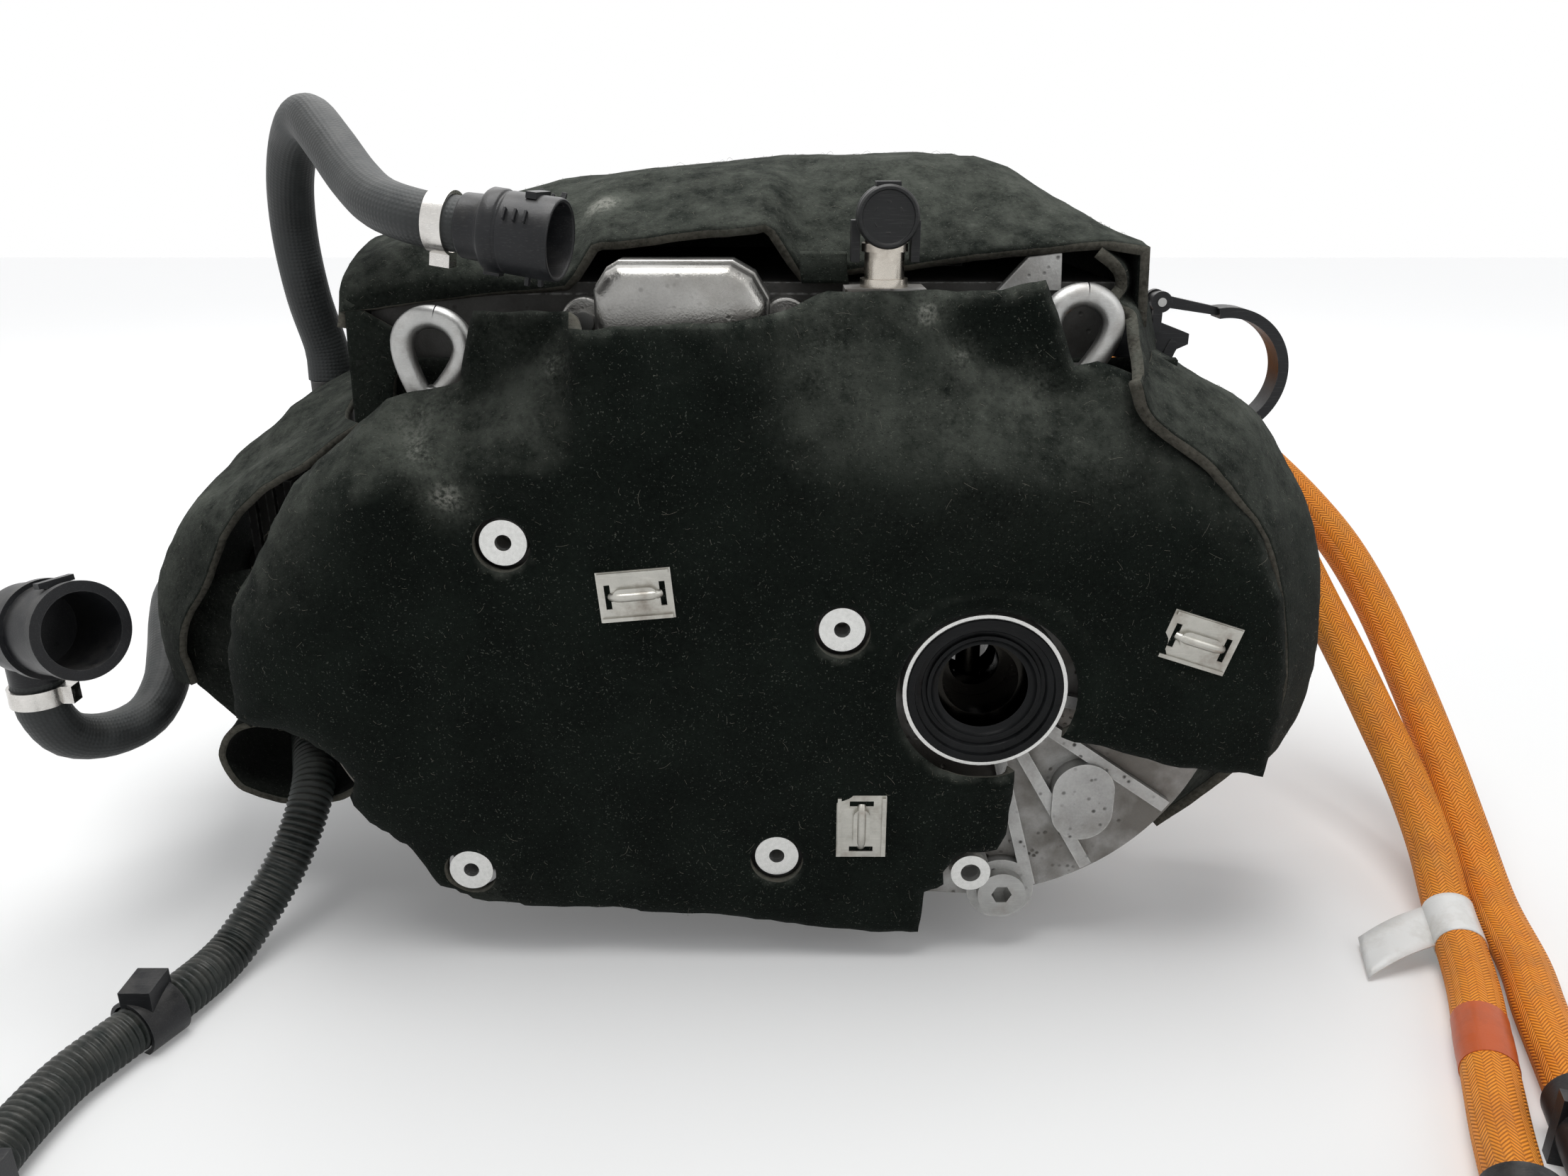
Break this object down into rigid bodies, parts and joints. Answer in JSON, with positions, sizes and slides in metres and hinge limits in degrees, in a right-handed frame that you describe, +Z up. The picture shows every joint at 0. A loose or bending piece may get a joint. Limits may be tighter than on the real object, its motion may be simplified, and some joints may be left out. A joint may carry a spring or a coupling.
{
  "type": "electric drive unit",
  "caption": "Felt-wrapped electric drive unit: motor, reduction gearbox with differential and inverter, with coolant hoses, wiring conduit and orange high-voltage cables.",
  "frame": {"origin": "on the output axis, at the land of the front output seal", "axes": "-Y out of the front output, towards the gearbox end; +Z up; +X to the right seen from the gearbox end"},
  "size_m": [0.865, 0.5884, 0.4618],
  "materials": {
    "cast": "as cast",
    "steel": "machined",
    "magnet": "plated",
    "iron": "as cast",
    "copper": "enamelled",
    "rubber": "matte",
    "plastic": "satin",
    "conduit": "ribbed",
    "board": "coated",
    "felt": "needle felt",
    "cable": "braided",
    "tag": "bare"
  },
  "bodies": {
    "housing": {"gearbox_cover": "cast", "gearbox_housing": "cast", "motor_housing": "cast", "rear_cover": "cast", "stator_core": "steel", "stator_windings": "copper", "bearing_outer_rings": "steel", "output_seals": "rubber", "drain_plug": "steel", "breather_pipe": "steel", "breather_cap": "plastic", "inverter_housing": "cast", "inverter_lid": "cast", "power_module": "plastic", "control_board": "board", "phase_busbars": "copper", "terminal_lid": "cast", "hv_glands": "plastic", "oil_cooler": "cast", "upper_hose": "rubber", "upper_clamp": "steel", "upper_connector": "plastic", "lower_hose": "rubber", "lower_clamp": "steel", "lower_connector": "plastic", "front_felt": "felt", "side_felt": "felt", "top_felt": "felt", "left_felt": "felt", "harness_sleeve": "felt", "felt_clips": "steel", "lifting_eyes": "steel", "clip_bracket": "plastic", "clip_pin": "steel", "hv_cable_front": "cable", "hv_cable_back": "cable", "hv_connector": "plastic", "cable_tag": "tag", "conduit": "conduit", "conduit_clip": "plastic", "lv_connector": "plastic", "case_bolts": "steel"},
    "differential": {"ring_gear": "steel", "differential_case": "iron", "cross_pin": "steel", "differential_inner_rings": "steel"},
    "intermediate": {"intermediate_shaft": "steel", "intermediate_gear": "steel", "intermediate_inner_rings": "steel"},
    "rotor": {"rotor_shaft": "steel", "rotor_core": "steel", "rotor_magnets": "magnet", "rotor_inner_rings": "steel"},
    "side_front": {"side_gear_front": "steel"},
    "side_rear": {"side_gear_rear": "steel"},
    "planet_upper": {"planet_gear_upper": "steel"},
    "planet_lower": {"planet_gear_lower": "steel"},
    "strap": {"clip_strap": "plastic"},
    "latch_upper": {"upper_latch": "plastic"},
    "latch_lower": {"lower_latch": "plastic"}
  },
  "joints": [
    {"name": "differential_spin", "type": "hinge", "parent": "housing", "child": "differential", "pos_m": [0, 0.06, 0], "axis": [0, 1, 0], "continuous": true},
    {"name": "intermediate_spin", "type": "hinge", "parent": "housing", "child": "intermediate", "pos_m": [-0.13299, 0.06, 0.04212], "axis": [0, 1, 0], "continuous": true},
    {"name": "rotor_spin", "type": "hinge", "parent": "housing", "child": "rotor", "pos_m": [-0.24, 0.2, 0], "axis": [0, 1, 0], "continuous": true},
    {"name": "front_side_spin", "type": "hinge", "parent": "differential", "child": "side_front", "pos_m": [0, 0.06, 0], "axis": [0, 1, 0], "continuous": true},
    {"name": "rear_side_spin", "type": "hinge", "parent": "differential", "child": "side_rear", "pos_m": [0, 0.06, 0], "axis": [0, 1, 0], "continuous": true},
    {"name": "upper_planet_spin", "type": "hinge", "parent": "differential", "child": "planet_upper", "pos_m": [0, 0.06, 0], "axis": [0, 0, 1], "continuous": true},
    {"name": "lower_planet_spin", "type": "hinge", "parent": "differential", "child": "planet_lower", "pos_m": [0, 0.06, 0], "axis": [0, 0, 1], "continuous": true},
    {"name": "strap_hinge", "type": "hinge", "parent": "housing", "child": "strap", "pos_m": [0.11, 0.13, 0.187], "axis": [0, -1, 0], "range_deg": [0, 70]},
    {"name": "upper_latch_slide", "type": "slide", "parent": "housing", "child": "latch_upper", "axis": [0.1334, -0.0267, 0.9907], "range_m": [0, 0.003], "stiffness_N_per_m": 500},
    {"name": "lower_latch_slide", "type": "slide", "parent": "housing", "child": "latch_lower", "axis": [-0.1423, 0.0821, 0.9864], "range_m": [0, 0.003], "stiffness_N_per_m": 500}
  ],
  "couplings": [
    {"joint": "intermediate_spin", "follows": "differential_spin", "ratio": -3.65},
    {"joint": "rotor_spin", "follows": "differential_spin", "ratio": 10.95},
    {"joint": "rear_side_spin", "follows": "front_side_spin", "ratio": -1},
    {"joint": "upper_planet_spin", "follows": "front_side_spin", "ratio": 1.6},
    {"joint": "lower_planet_spin", "follows": "front_side_spin", "ratio": -1.6}
  ]
}
